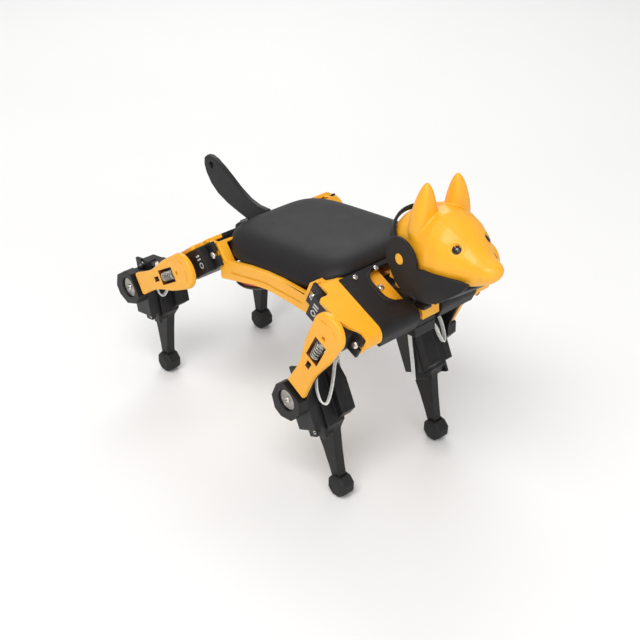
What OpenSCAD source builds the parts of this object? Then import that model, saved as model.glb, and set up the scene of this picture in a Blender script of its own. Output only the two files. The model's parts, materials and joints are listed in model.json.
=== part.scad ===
// Palm-sized four-legged robot dog: eight micro servos drive the legs, a ninth pans the head.
// Frame: +X nose, +Y the dog's left side, +Z up, origin on the floor under the middle of the whole dog.

/* [Stance] */
// Nose-up pitch of the torso, degrees
torso_pitch = 7.9; // [0:0.1:12]
// Height of the torso's middle, level with the hip axes
torso_z = 85.5; // [83:0.1:88]
// Shift that centres the whole dog on the origin
origin_shift = -2.1; // [-20:0.1:20]
// Slope of the front thighs below the horizontal, degrees
thigh_angle_front = 63; // [55:0.5:70]
// Slope of the rear thighs below the horizontal, degrees
thigh_angle_rear = 32.4; // [28:0.2:38]
// How far the head is turned to the dog's right, degrees
head_turn = 8; // [0:1:20]

/* [Torso] */
// Distance between the front and rear hip axes
wheelbase = 100; // [98:1:104]
// Slope of the shoulder straps and of the servos under them, degrees
strap_slope = 31.1; // [28:0.1:34]
// Half width over the side rails
rail_half_w = 36.2; // [35.8:0.1:36.4]
// Half width over the shoulder straps
strap_half_w = 42.3; // [41.8:0.1:42.6]
// Thickness of the straps and the slanted covers
frame_t = 1.9; // [1.5:0.1:1.9]
// Thickness of the covers' walls
cover_t = 1.6; // [1.2:0.1:2]

/* [Legs] */
// Hip axis to knee axis
thigh_len = 46.5; // [45:0.5:48]
// Knee axis to the centre of the foot
shank_len = 48.65; // [47:0.05:50]
// Half the height of a rubber foot
foot_r = 5.25; // [5:0.05:5.6]
// Half the width of a rubber foot
foot_half_w = 4.2; // [3.5:0.1:4.6]
// Travel of the spring-loaded knee link
spring_travel = 1.5; // [1:0.1:1.6]

/* [Servos] */
// Length of the servo case
servo_len = 22.5; // [22:0.1:23]
// Width of the servo case
servo_w = 12; // [11.8:0.1:12.2]
// Output shaft's distance from the near end of the case
shaft_inset = 5.9; // [5.6:0.1:6.1]
// Distance between the two screw holes
screw_pitch = 27.4; // [27:0.1:28]
// Radius of the output shaft
shaft_r = 2.4; // [2.3:0.05:2.5]

/* [Head] */
// Neck axis, ahead of the torso's middle
neck_x = 54; // [53:0.5:55]
// Height of the jaw pivot above the hip axes
jaw_pivot_z = 29.7; // [29:0.1:30.5]
// Jaw pivot, ahead of the neck axis
jaw_pivot_x = 15.5; // [15:0.1:16]

/* [Hidden] */
$fn = 40;
gap = 0.3;
hip_x = wheelbase / 2;

// Shoulder servos stand on the rails' bays; knee servos stand on the shanks.
shoulder_tab_y = 37.5;
knee_tab_y = 39;
tab_t = 1.6;
case_top = 4.3;
turret_top = 5;
case_depth = 15.9;
turret_r = shaft_inset - 0.05;
tab_end = servo_len - shaft_inset + 5.3;
tab_start = shaft_inset + 5.3;
hole_far = -(servo_len / 2 - shaft_inset + screw_pitch / 2);
hole_near = screw_pitch / 2 - (servo_len / 2 - shaft_inset);

// Thigh layers, as distances from the middle plane
link_in = 43.6;
link_out = 45;
shell_in = 45.15;
shell_out = 48;
knee_out = 49.3;
ring_bore = 5;
slot_start = 17.2;
peg_u = 19.9;

// World positions of the hips, knees and feet; the shank angles follow from the feet on the floor.
function hip(end) = [end * hip_x * cos(torso_pitch), 0, torso_z + end * hip_x * sin(torso_pitch)];
function thigh_angle(end) = end > 0 ? thigh_angle_front : thigh_angle_rear;
function knee(end) = hip(end) - thigh_len * [cos(thigh_angle(end)), 0, sin(thigh_angle(end))];
function shank_angle(end) = asin((knee(end)[2] - foot_r) / shank_len);
function foot(end) = knee(end) + shank_len * [cos(shank_angle(end)), 0, -sin(shank_angle(end))];
function arc(cx, cy, r, a0, a1, n = 10) =
    [for (i = [0:n]) [cx + r * cos(a0 + (a1 - a0) * i / n), cy + r * sin(a0 + (a1 - a0) * i / n)]];

// ---- placing ----

module on_torso() translate([origin_shift, 0, torso_z]) rotate([0, -torso_pitch, 0]) children();

// end is 1 at the front and -1 at the rear; side is 1 on the left and -1 on the right
module bay(end) mirror([end < 0 ? 1 : 0, 0, 0]) translate([hip_x, 0, 0]) rotate([0, strap_slope, 0]) children();
module on_side(side) mirror([0, side < 0 ? 1 : 0, 0]) children();
module both_sides() for (side = [-1, 1]) on_side(side) children();

module on_thigh(end, side) translate([origin_shift, 0, 0] + hip(end))
    rotate([0, 180 - thigh_angle(end), 0]) on_side(side) children();
module on_shank(end, side) translate([origin_shift, 0, 0] + knee(end))
    rotate([0, shank_angle(end), 0]) on_side(side) children();
module on_head() on_torso() translate([neck_x, 0, 0]) rotate([0, 0, -head_turn]) children();

// Extrudes an outline drawn in (x, z) from y0 to y1
module slab(y0, y1) translate([0, y1, 0]) rotate([90, 0, 0]) linear_extrude(y1 - y0) children();
module pin_y(r, y0, y1, fn = 40) translate([0, y0, 0]) rotate([-90, 0, 0]) cylinder(r = r, h = y1 - y0, $fn = fn);

// A tube swept along points
function unit(v) = v / norm(v);
function tangent(p, i) = unit(p[min(i + 1, len(p) - 1)] - p[max(i - 1, 0)]);
module tube(p, r, ref, sides = 8) {
    rings = [for (i = [0:len(p) - 1]) let (t = tangent(p, i), a = unit(cross(t, ref)), b = cross(t, a))
        for (k = [0:sides - 1]) p[i] + r * (a * cos(360 * k / sides) + b * sin(360 * k / sides))];
    last = (len(p) - 1) * sides;
    polyhedron(points = rings, convexity = 6, faces = concat(
        [[for (k = [0:sides - 1]) k]],
        [for (i = [0:len(p) - 2], k = [0:sides - 1]) let (n = (k + 1) % sides)
            [i * sides + k, (i + 1) * sides + k, (i + 1) * sides + n]],
        [for (i = [0:len(p) - 2], k = [0:sides - 1]) let (n = (k + 1) % sides)
            [i * sides + k, (i + 1) * sides + n, i * sides + n]],
        [[for (k = [sides - 1:-1:0]) last + k]]));
}

// ---- servo: origin on the shaft axis, tab face at y = 0, case behind it along -x ----

module servo_case() {
    difference() {
        union() {
            translate([shaft_inset - servo_len, -case_depth, -servo_w / 2])
                cube([servo_len, case_depth + case_top, servo_w]);
            translate([-tab_end, -tab_t, -servo_w / 2 + 0.2]) cube([tab_end + tab_start, tab_t, servo_w - 0.4]);
            pin_y(turret_r, case_top - 0.5, turret_top);
            translate([-6.4, 0, 0]) pin_y(2.8, case_top - 0.5, case_top + 0.2);
        }
        pin_y(shaft_r + 0.05, 2, turret_top + 1);
        for (x = [hole_far, hole_near]) translate([x, 0, 0]) pin_y(1, -tab_t - 1, 1, 24);
    }
    // cable grommet at the end away from the shaft
    translate([shaft_inset - servo_len - 1.2, -13, -2]) cube([1.4, 2, 4]);
}

module servo_at_shoulder() color("dimgray") translate([0, shoulder_tab_y, 0]) servo_case();

module screw_y(r, head_t, len) {
    pin_y(r, 0, head_t, 24);
    pin_y(0.9, -len, 0.1, 24);
}

// ---- torso ----

// Outline of a strap in the bay's (x, z): flat on top, then bent down past the hip
module strap_outline(top, t, start, drop = 2) {
    bend_x = 8.5;
    polygon(concat([[start, top]], arc(bend_x, top - 5, 5, 90, 0), [[bend_x + 5, drop]],
        [[bend_x + 5 - t, drop]], arc(bend_x, top - 5, 5 - t, 0, 90), [[start, top - t]]));
}

// Plan of a strap: wide in the middle, stepped back at the rear screw, tapered towards the bend
strap_plan = [[-19, 28.4], [-19, 36.6], [-14.2, 36.6], [-13.2, 37.6], [-13.2, 41.2], [-12.2, strap_half_w],
    [-2, strap_half_w], [3.8, 40.2], [6.8, 37.6], [8.4, 37], [15, 37], [15, 28.4]];

module bay_frame(end) bay(end) {
    both_sides() difference() {
        union() {
            intersection() {
                slab(28.4, strap_half_w) strap_outline(8, frame_t, -18.1);
                linear_extrude(9) polygon(strap_plan);
            }
            // side plate that the servo's tabs are screwed to
            slab(33.4, shoulder_tab_y - tab_t) polygon([[-23.5, -4], [-23.5, 6.5], [11.4, 6.5], [11.4, -4]]);
        }
        translate([-servo_len + shaft_inset - gap, 20, -servo_w / 2 - gap])
            cube([servo_len + 2 * gap, 18, servo_w + gap + 0.05]);
        // room for the servo's tab inside the bend
        translate([5, shoulder_tab_y - tab_t, -6]) cube([6.5, 5, 11.95]);
        for (x = [hole_far, hole_near]) translate([x, 0, 0]) pin_y(0.95, 30, 40, 24);
    }
    // end walls of the bays, and the deck that joins the two sides
    both_sides() translate([-24.4, 31.4, -8]) cube([frame_t, rail_half_w - 31.45, 15.5]);
    difference() {
        translate([-24.4, -34, 3]) cube([35.2, 68, frame_t]);
        both_sides() translate([-17.9, 21.2, 0]) cube([24.2, 20, 10]);
        if (end > 0) translate([-30, -6.3, -5]) cube([39.9, 12.6, 15]);
    }
}

module rail_outline() polygon([[-31.7, -1.3], [-18, 0.7], [-9, 2], [0, 2.6], [9, 2], [18, 0.7], [31.7, -1.3],
    [31.7, 7.6], [20.3, 8.9], [10.8, 10], [0, 10.4], [-10.8, 10], [-20.3, 8.9], [-31.7, 7.6]]);

module body_frame() color("orange") on_torso() {
    difference() {
        union() {
            both_sides() slab(33.2, rail_half_w) rail_outline();
            // tray between the rails, with the battery under it and the board above
            translate([-31, -33.4, 2.9]) cube([62, 66.8, frame_t]);
            translate([30, -5, 2.6]) cube([7.2, 10, 2.5]);
            // post under the front tab of the head servo
            translate([60.4, -5, -4]) cube([3.2, 10, 5]);
            bay_frame(1);
            bay_frame(-1);
        }
        // lightening slots in the tray and the battery's plug window
        for (x = [-24, 12]) translate([x, -24, 1]) cube([12, 8, 6]);
        for (x = [-24, 12]) translate([x, 16, 1]) cube([12, 8, 6]);
        // notches for the shoulder servos' leads, bores for the deck screws
        for (x = [-31.5, 26.5]) both_sides() translate([x, 22.4, 1]) cube([5, 6, 6]);
        bay(1) for (y = [-11.5, 11.5]) translate([-7.3, y, 2]) cylinder(r = 0.95, h = 5, $fn = 24);
        // shallow grooves along the outside of the rails
        both_sides() slab(rail_half_w - 0.4, rail_half_w + 1)
            polygon([[-24, 3.2], [0, 5.4], [24, 3.2], [24, 3.9], [0, 6.1], [-24, 3.9]]);
    }
}

module cover_form(inset) {
    hull() for (sx = [-1, 1], sy = [-1, 1]) {
        translate([sx * (22 - inset * 0.4), sy * (13 - inset * 0.4), 15.8]) sphere(r = 6.4 - inset, $fn = 28);
        translate([sx * (36.5 - inset * 0.5), sy * (26 - inset * 0.5), 11]) sphere(r = 3.4 - inset, $fn = 20);
        translate([sx * (30 - inset), sy * (31 - inset), 7.5]) cylinder(r = 2, h = 3.1, $fn = 16);
    }
}

module back_cover() color("dimgray") on_torso() difference() {
    cover_form(0);
    translate([0, 0, -0.5]) cover_form(cover_t);
    translate([0, 0, -1.2]) cover_form(cover_t + 0.2);
    translate([-45, -40, 3]) cube([90, 80, 4.7]);
    // clear of the decks, the bays' end walls and the straps
    for (end = [-1, 1]) bay(end) {
        translate([-24.7, -40, -20]) cube([45, 80, 25.2]);
        both_sides() translate([-24.7, 31.2, -20]) cube([45, 10, 27.8]);
        translate([-18.4, -40, -20]) cube([40, 80, 29]);
    }
}

module slope_cover(end) bay(end) slab(-28.1, 28.1) strap_outline(8, frame_t, -17.2, -1.5);

module chest_cover() color("dimgray") on_torso() difference() {
    union() {
        slope_cover(1);
        // low rim round the neck opening
        bay(1) translate([-6, 0, 7.9]) linear_extrude(0.6) neck_opening(17.4);
    }
    bay(1) translate([-6, 0, 0]) linear_extrude(12) neck_opening(15.6);
    bay(1) translate([0, -6.5, -3]) cube([14, 13, 15]);
    bay(1) for (y = cover_screw_y) translate([-15, y, 5]) cylinder(r = 0.95, h = 5, $fn = 24);
}

module neck_opening(half_w) {
    corner = 6;
    polygon(concat(arc(9 - corner, half_w - corner, corner, 0, 90), arc(corner - 9, half_w - corner, corner, 90, 180),
        arc(corner - 9, corner - half_w, corner, 180, 270), arc(9 - corner, corner - half_w, corner, 270, 360)));
}

module rump_cover() color("dimgray") on_torso() difference() {
    slope_cover(-1);
    translate([-62, -5, 0]) cube([32, 10, 30]);
}

module main_board() color("darkgreen") on_torso() {
    translate([-29, -24, 6.6]) cube([58, 48, 1.6]);
    translate([-6, -6, 8.2]) cube([12, 12, 1.2]);
    translate([-24, -20, 8.2]) cube([9, 40, 2.4]);
    translate([17, -20, 8.2]) cube([8, 40, 2.4]);
    for (x = [-25, 25], y = [-21, 21]) translate([x, y, 5.1]) cylinder(r = 1.8, h = 1.5);
}

module battery_pack() color("black") on_torso() difference() {
    translate([-27, -14, -9]) cube([54, 28, 11.8]);
    translate([0, 8.4, -9.5]) cylinder(r = 2.6, h = 3.1);
}

module battery_button() color("white") on_torso() translate([0, 8.4, -9.3]) cylinder(r = 2.2, h = 2);

// Two leads that run from the pack along the right rail to the board
lead_route = [[-24, -15, -4], [-27, -19, -4.2], [-29.5, -24, -3.4], [-29, -28.5, -2.4], [-25, -31, -1.9],
    [-20, -31.4, -2.1], [-14, -31.2, -1.2], [-9, -30.6, 0.2], [-5, -28.5, 1.2], [-3, -24, 1.4], [-2, -19, 0.4],
    [-2, -15, -1]];
module battery_leads() color("red") on_torso() for (k = [0, 1])
    tube([for (q = lead_route) q + [-0.6 * k, 0, -1.9 * k]], 0.85, [0.1, 0.2, 1]);

cover_screw_y = [-20.8, -9, 9, 20.8];
module cover_screws() color("silver") on_torso() {
    bay(1) for (y = cover_screw_y) translate([-15, y, 8]) rotate([90, 0, 0]) screw_y(1.2, 0.7, 1.5);
    bay(1) for (y = [-11.5, 11.5]) translate([-7.3, y, 3 + frame_t]) rotate([90, 0, 0]) screw_y(1.5, 1, 1.6);
}

module shoulder_screws() color("silver") on_torso() for (end = [-1, 1]) bay(end) both_sides()
    for (x = [hole_far, hole_near]) translate([x, shoulder_tab_y, 0]) screw_y(1.75, 1.2, 3.4);

// White leads that drop from each shoulder servo and turn up into the torso
module shoulder_wires() color("white") on_torso() for (end = [-1, 1]) bay(end) both_sides() for (k = [0, 1])
    tube([for (a = [0:15:180]) [-13.6 + 6 * cos(a) , 23.8 + 1.5 * k + 2 * sin(a / 2), -6.9 - 3.4 * sin(a)]],
        0.65, [0, 1, 0.1]);

module tail_holder() color("dimgray") on_torso() difference() {
    union() {
        slab(-4.6, 4.6) polygon([[-38.5, 13.5], [-57.3, 2.15], [-60.6, 4.6], [-60.4, 7], [-58, 8.7],
            [-53, 10.4], [-47, 12.8], [-43, 16.2], [-38.5, 16.2]]);
    }
    slab(-1.35, 1.35) tail_outline(0.05);
}

module tail_outline(grow = 0) polygon([[-38.6 + grow, 14.6], [-41, 13.4 - grow], [-46, 11 - grow], [-53.9, 10.1 - grow],
    [-61.2, 12.4], [-68.6, 14.9], [-75.9, 18.6], [-80.6, 23], [-83.4, 28], [-84.3, 32], [-83.6, 35.3],
    [-81.2, 37], [-78.2, 37.2], [-74.8, 36], [-69.2, 32.6], [-63.7, 28.6], [-59, 25], [-52.1, 21],
    [-45.5, 19], [-38.6 + grow, 18.6]]);

module tail() color("dimgray") on_torso() difference() {
    slab(-1.3, 1.3) tail_outline();
    translate([-78.4, 0, 32.6]) pin_y(1.5, -3, 3);
}

module head_servo() color("dimgray") on_torso() translate([neck_x, 0, 2.6]) rotate([90, 0, 0]) servo_case();

module neck_post() color("orange") on_head() {
    translate([0, 0, 4.8]) cylinder(r = shaft_r, h = 4);
    translate([0, 0, 8]) cylinder(r = 7.5, h = 3);
    difference() {
        slab(-7.2, 7.2) polygon([[-7.2, 10.8], [7.2, 10.8], [22, 14.6], [25, 18], [22, 22], [0, 24], [-5, 19]]);
        skull(-0.02);
    }
}

// ---- head: x and z from the neck axis and the hip axes' height ----

module skull(inset) {
    hull() {
        translate([12, 0, 31]) scale([1, 1, 1]) sphere(r = 15 - inset, $fn = 32);
        translate([25, 0, 34]) sphere(r = 14.8 - inset, $fn = 32);
        translate([36, 0, 34]) sphere(r = 10.8 - inset, $fn = 28);
    }
    hull() {
        translate([35, 0, 33]) sphere(r = 10.6 - inset, $fn = 28);
        translate([49, 0, 29.6]) sphere(r = 6.2 - inset, $fn = 24);
    }
}

module ear(side) hull() {
    translate([16.5, side * 10.5, 41]) sphere(r = 3.4, $fn = 18);
    translate([22.5, side * 4.5, 43]) sphere(r = 3.2, $fn = 18);
    translate([21.4, side * 7, 58.9]) sphere(r = 1.5, $fn = 12);
}

module head_shell() color("orange") on_head() {
    difference() {
        union() {
            skull(0);
            ear(1);
            ear(-1);
        }
        skull(2);
        slab(-20, 20) polygon([[25, 10], [25, 26.2], [36, 25], [44, 20.6], [47, 10]]);
        for (s = [-1, 1]) translate([39.5, s * 9.9, 39.7]) sphere(r = 2.6, $fn = 20);
    }
    // jaw pivots, one stub on each side
    both_sides() translate([jaw_pivot_x, 0, jaw_pivot_z]) pin_y(2.3, 13.4, 18.4);
}

module head_eyes() color("black") on_head() for (s = [-1, 1])
    translate([39.5, s * 9.5, 39.7]) sphere(r = 1.9, $fn = 20);

// Side plate of the jaw: a round ear piece that runs into a scoop under the muzzle
module jaw_outline() polygon(concat(arc(jaw_pivot_x, jaw_pivot_z, 10.6, -20, 205, 22),
    [[11, 18.4], [16, 14.6], [22.4, 12.6], [28, 13], [33, 15.2], [38.5, 18.6], [42, 22.4], [43.2, 25.2],
    [36, 24.8], [29, 25.4]]));

module jaw() color("dimgray") on_head() {
    both_sides() difference() {
        slab(15.9, 17.6) jaw_outline();
        translate([jaw_pivot_x, 0, jaw_pivot_z]) pin_y(2.36, 10, 20);
    }
    // chin bridge between the plates
    slab(-17.6, 17.6) polygon([[22.4, 12.6], [28, 13], [33, 15.2], [32.4, 16.6], [27.6, 14.5], [22.4, 14.1]]);
    // band over the back of the head
    translate([jaw_pivot_x, 0, jaw_pivot_z]) rotate([0, -40, 0]) translate([-2.5, 0, 0]) slab_x(5)
        difference() {
            band_outline(17.6, 20.2);
            band_outline(15.9, 18.7);
            translate([-30, -30]) square([60, 36]);
        }
}

module slab_x(t) rotate([90, 0, 90]) linear_extrude(t) children();
module band_outline(half_w, top) polygon([for (a = [0:10:350]) [half_w * cos(a), top * sin(a)]]);

// ---- legs: x from the hip to the knee, or from the knee to the foot ----

module hip_horn() color("white") {
    pin_y(shaft_r, shoulder_tab_y + 2.2, 45.6);
    pin_y(3.5, 42.9, 46.2);
    slab(45.2, 46.2) mirror([1, 0]) hull_free_bar(2.2, 1.4, 7.5);
}

// A round-ended bar that tapers from r0 at the origin to r1 at length l
module hull_free_bar(r0, r1, l) {
    a = acos((r0 - r1) / l);
    polygon(concat(arc(0, 0, r0, a, 360 - a, 24), arc(l, 0, r1, -a, a, 12)));
}

module thigh_outline() {
    edge = [[5, 8], [10.5, 7.4], [16, 6.2], [22, 5], [28, 4.8], [33, 5.2], [38.2, 5.6]];
    polygon(concat(arc(-3.6, 0, 8.6, 78, 282, 24), [for (q = edge) [q[0], -q[1]]],
        [for (i = [len(edge) - 1:-1:0]) edge[i]]));
}

module thigh_shell() color("orange") difference() {
    union() {
        slab(shell_in, shell_out) thigh_outline();
        // hub round the horn
        pin_y(4.6, link_in, shell_in + 0.1);
    }
    // horn recess and its screw hole
    pin_y(3.6, 40, 46.3);
    slab(44, 46.3) mirror([1, 0]) hull_free_bar(2.3, 1.5, 7.6);
    pin_y(1.1, 45, 50, 24);
    // window for the spring, slot for the link's peg
    slab(44, 50) translate([3, -3.5]) square([12.2, 7]);
    slab(44, 50) translate([slot_start, -1.1]) square([peg_u + 1.1 - slot_start, 2.2]);
    // curved groove round the hip
    slab(shell_out - 0.5, 50) difference() {
        polygon(concat(arc(0, 0, 8.3, 140, 220), arc(0, 0, 7.6, 220, 140)));
    }
}

// Compression spring in the window, coils along x
module thigh_spring() color("silver") {
    turns = 5;
    r = 1.95;
    start = 4.1;
    reach = 8.3;
    tube([for (a = [0:30:360 * turns]) [start + reach * a / (360 * turns), 46.6 + r * cos(a), r * sin(a)]],
        0.42, [1, 0, 0], 6);
}

module knee_link() color("dimgray") {
    difference() {
        union() {
            slab(link_in, link_out) polygon([[8, -6.6], [12, -6], [20, -4.6], [30, -4.4], [37, -5.4], [42, -6.4],
                [42, 6.6], [37, 5.6], [30, 4.6], [20, 5], [12, 6.4], [8, 7]]);
            slab(link_in, knee_out) translate([thigh_len, 0]) polygon(knee_ring);
        }
        translate([thigh_len, 0, 0]) pin_y(ring_bore, 40, 60);
        translate([thigh_len, 0, 0]) pin_y(turret_r + 0.25, 40, link_in + 0.6);
        // notch under the spring
        translate([7, link_in - 1, -2.8]) cube([6, 3, 5.6]);
    }
    // spring post and guide peg
    translate([13, -2.6, 0]) translate([0, link_out - 0.1, 0]) cube([1.4, shell_out - link_out - 0.5, 5.2]);
    translate([peg_u, 0, 0]) pin_y(0.85, link_out - 0.1, shell_out - 0.4, 20);
}

// Faceted knee housing, from the knee axis
knee_ring = [[-6.3, -5.6], [-1.5, -8.3], [6.2, -7.7], [10.6, -3], [10.6, 1.8], [6.8, 7.2], [-1.5, 8.8], [-6.3, 6]];

module knee_horn() color("silver") translate([thigh_len, 0, 0]) {
    pin_y(shaft_r, knee_tab_y + 2.2, 45);
    pin_y(ring_bore, link_in + 0.7, 48.3);
    pin_y(2.3, 48.2, 49, 24);
}

// The knee servo's long axis leans a little from the line between knee and foot
servo_lean = -6.25;
module on_knee_servo() rotate([0, servo_lean, 0]) mirror([1, 0, 0]) translate([0, knee_tab_y, 0]) children();

module knee_servo() color("dimgray") on_knee_servo() servo_case();

module shank_blade() polygon(concat([[10, 7.4], [16, 7.6], [21.5, 6.3], [30, 4.6], [40, 3], [shank_len - 3, 2.3]],
    arc(shank_len, 0, 3.4, 130, -130, 14), [[shank_len - 3, -2.3], [40, -2.7], [30, -3.9], [22, -5.6],
    [16, -6.4], [10, -6.4]]));

module shank() color("dimgray") {
    difference() {
        union() {
            on_knee_servo() slab(-11.5, -tab_t)
                polygon([[8.6, -7.4], [8.6, 7.4], [-17.2, 7.4], [-tab_end, 2.4], [-tab_end, -7.4]]);
            slab(28.7, 33.3) shank_blade();
            // knee fairing above the blade, on the dog's front side
            slab(23.4, 31) polygon([[-8.6, 5.2], [-8.6, 8], [-2, 11.5], [12, 13.2], [15.5, 8.4], [15.5, 5.2]]);
        }
        on_knee_servo() translate([shaft_inset - servo_len - gap / 2, -20, -servo_w / 2 - gap / 2])
            cube([servo_len + gap, 25, servo_w + gap]);
        on_knee_servo() translate([shaft_inset - servo_len - 1.3, -13.4, -2.6]) cube([3, 3, 5.2]);
        on_knee_servo() for (x = [hole_far, hole_near]) translate([x, 0, 0]) pin_y(0.9, -8, 1, 24);
    }
    on_knee_servo() for (x = [hole_far, hole_near]) translate([x, 0, 0]) screw_y(1.7, 1.1, 3);
}

// Eight-sided rubber sock with one flat on the floor
module foot_sock(end) color([0.1, 0.1, 0.1]) translate([shank_len, 0, 0]) rotate([0, -shank_angle(end), 0])
    difference() {
        translate([0, 31, 0]) rotate([90, 0, 0]) union() {
            sole = foot_r / cos(22.5);
            rotate(22.5) translate([0, 0, -foot_half_w + 1.4])
                linear_extrude(2 * foot_half_w - 2.8) circle(r = sole, $fn = 8);
            for (s = [0, 1]) mirror([0, 0, s]) rotate(22.5) translate([0, 0, foot_half_w - 1.4])
                linear_extrude(1.4, scale = 0.74) circle(r = sole, $fn = 8);
        }
        rotate([0, shank_angle(end), 0]) translate([-shank_len, 0, 0]) slab(28.7, 33.3) shank_blade();
    }

// White lead from the servo's end, up behind the cradle and in a loop over its front
wire_route = [[19, 26.1, -2.6], [20.6, 24.6, -1], [19, 22.4, 1.5], [12, 21.8, 3.5], [5, 21.8, 4.5],
    [-2, 21.8, 5.5], [-9.4, 21.9, 7.2], [-11.2, 24.4, 9.6], [-10.4, 28, 11.8], [-5, 31.6, 12.9], [1, 34, 11.9],
    [5, 36.5, 10.9], [3.4, 38.6, 10], [-2, 39, 9.6], [-7.6, 37.8, 9.4], [-10.8, 35.4, 6.2]];
module knee_wire() color("white") tube(wire_route, 1, [0.1, 0.2, 1]);

body_frame();
back_cover();
chest_cover();
rump_cover();
main_board();
battery_pack();
battery_button();
battery_leads();
cover_screws();
shoulder_screws();
shoulder_wires();
tail_holder();
tail();
head_servo();
neck_post();
head_shell();
head_eyes();
jaw();
on_torso() bay(1) on_side(-1) servo_at_shoulder();  // shoulder_servo_fr
on_torso() bay(1) on_side(1) servo_at_shoulder();  // shoulder_servo_fl
on_torso() bay(-1) on_side(-1) servo_at_shoulder();  // shoulder_servo_rr
on_torso() bay(-1) on_side(1) servo_at_shoulder();  // shoulder_servo_rl
on_thigh(1, -1) hip_horn();  // hip_horn_fr
on_thigh(1, 1) hip_horn();  // hip_horn_fl
on_thigh(-1, -1) hip_horn();  // hip_horn_rr
on_thigh(-1, 1) hip_horn();  // hip_horn_rl
on_thigh(1, -1) thigh_shell();  // thigh_shell_fr
on_thigh(1, 1) thigh_shell();  // thigh_shell_fl
on_thigh(-1, -1) thigh_shell();  // thigh_shell_rr
on_thigh(-1, 1) thigh_shell();  // thigh_shell_rl
on_thigh(1, -1) thigh_spring();  // thigh_spring_fr
on_thigh(1, 1) thigh_spring();  // thigh_spring_fl
on_thigh(-1, -1) thigh_spring();  // thigh_spring_rr
on_thigh(-1, 1) thigh_spring();  // thigh_spring_rl
on_thigh(1, -1) knee_link();  // knee_link_fr
on_thigh(1, 1) knee_link();  // knee_link_fl
on_thigh(-1, -1) knee_link();  // knee_link_rr
on_thigh(-1, 1) knee_link();  // knee_link_rl
on_thigh(1, -1) knee_horn();  // knee_horn_fr
on_thigh(1, 1) knee_horn();  // knee_horn_fl
on_thigh(-1, -1) knee_horn();  // knee_horn_rr
on_thigh(-1, 1) knee_horn();  // knee_horn_rl
on_shank(1, -1) knee_servo();  // knee_servo_fr
on_shank(1, 1) knee_servo();  // knee_servo_fl
on_shank(-1, -1) knee_servo();  // knee_servo_rr
on_shank(-1, 1) knee_servo();  // knee_servo_rl
on_shank(1, -1) shank();  // shank_fr
on_shank(1, 1) shank();  // shank_fl
on_shank(-1, -1) shank();  // shank_rr
on_shank(-1, 1) shank();  // shank_rl
on_shank(1, -1) foot_sock(1);  // foot_sock_fr
on_shank(1, 1) foot_sock(1);  // foot_sock_fl
on_shank(-1, -1) foot_sock(-1);  // foot_sock_rr
on_shank(-1, 1) foot_sock(-1);  // foot_sock_rl
on_shank(1, -1) knee_wire();  // knee_wire_fr
on_shank(1, 1) knee_wire();  // knee_wire_fl
on_shank(-1, -1) knee_wire();  // knee_wire_rr
on_shank(-1, 1) knee_wire();  // knee_wire_rl
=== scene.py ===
"""Palm-sized robot dog: mouldings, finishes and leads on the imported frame, with floor, light and camera.

Local frames are in millimetres: the torso's, the head's, each thigh's and shank's, and each servo's.
"""

import json
import math

import bmesh
import bpy
from mathutils import Matrix, Vector


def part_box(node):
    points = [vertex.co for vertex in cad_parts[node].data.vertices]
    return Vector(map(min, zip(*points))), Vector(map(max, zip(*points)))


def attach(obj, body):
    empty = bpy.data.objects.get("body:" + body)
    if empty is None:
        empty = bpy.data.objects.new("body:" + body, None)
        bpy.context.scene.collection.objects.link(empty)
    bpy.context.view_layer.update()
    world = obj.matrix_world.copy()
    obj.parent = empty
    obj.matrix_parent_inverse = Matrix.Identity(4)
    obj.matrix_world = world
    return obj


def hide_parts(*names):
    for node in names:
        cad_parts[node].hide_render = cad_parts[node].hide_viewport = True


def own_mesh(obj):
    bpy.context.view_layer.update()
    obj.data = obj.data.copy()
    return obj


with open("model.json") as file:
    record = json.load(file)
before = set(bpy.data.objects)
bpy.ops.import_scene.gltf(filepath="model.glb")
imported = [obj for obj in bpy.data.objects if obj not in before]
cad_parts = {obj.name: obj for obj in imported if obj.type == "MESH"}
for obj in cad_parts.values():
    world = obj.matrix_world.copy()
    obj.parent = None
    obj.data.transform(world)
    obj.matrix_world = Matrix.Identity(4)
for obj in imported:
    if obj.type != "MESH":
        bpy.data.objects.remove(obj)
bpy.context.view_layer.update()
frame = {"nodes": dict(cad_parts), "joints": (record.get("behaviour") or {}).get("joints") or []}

MM = 0.001
LEGS = ("fr", "fl", "rr", "rl")
joints = {j["name"]: j for j in frame["joints"]}


# ---- local frames, in millimetres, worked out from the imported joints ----

def local_frame(origin, x_axis, y_axis):
    """Matrix from a local frame in millimetres to the row frame in metres."""
    x = Vector(x_axis).normalized()
    y = Vector(y_axis).normalized()
    z = x.cross(y)
    m = Matrix.Identity(4)
    for row in range(3):
        m[row][0], m[row][1], m[row][2], m[row][3] = x[row] * MM, y[row] * MM, z[row] * MM, origin[row]
    return m


def joint_point(name):
    return Vector(joints[name]["pos_m"])


hip = {k: joint_point("shoulder_" + k) for k in LEGS}
knee = {k: joint_point("knee_" + k) for k in LEGS}
torso_up = Vector(joints["head_pan"]["axis"])
torso_forward = Vector((torso_up.z, 0, -torso_up.x))
hips_middle = (hip["fr"] + hip["rr"]) / 2
hips_middle.y = 0
torso = local_frame(hips_middle, torso_forward, (0, 1, 0))

head_left = Vector(joints["jaw_open"]["axis"])
neck = joint_point("head_pan")
neck_base = neck - torso_up * (neck - hips_middle).dot(torso_up)
head = local_frame(neck_base, head_left.cross(torso_up), head_left)

to_head = head.inverted()
jaw_pivot = to_head @ joint_point("jaw_open")


def mirrored(origin, x_axis, side):
    """A leg's frame: x along the limb, y outward on its own side, z to the front of the limb."""
    x = Vector(x_axis).normalized()
    z = x.cross(Vector((0, 1, 0)))
    m = Matrix.Identity(4)
    for row in range(3):
        m[row][0], m[row][2], m[row][3] = x[row] * MM, z[row] * MM, origin[row]
    m[1][1] = side * MM
    return m


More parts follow.
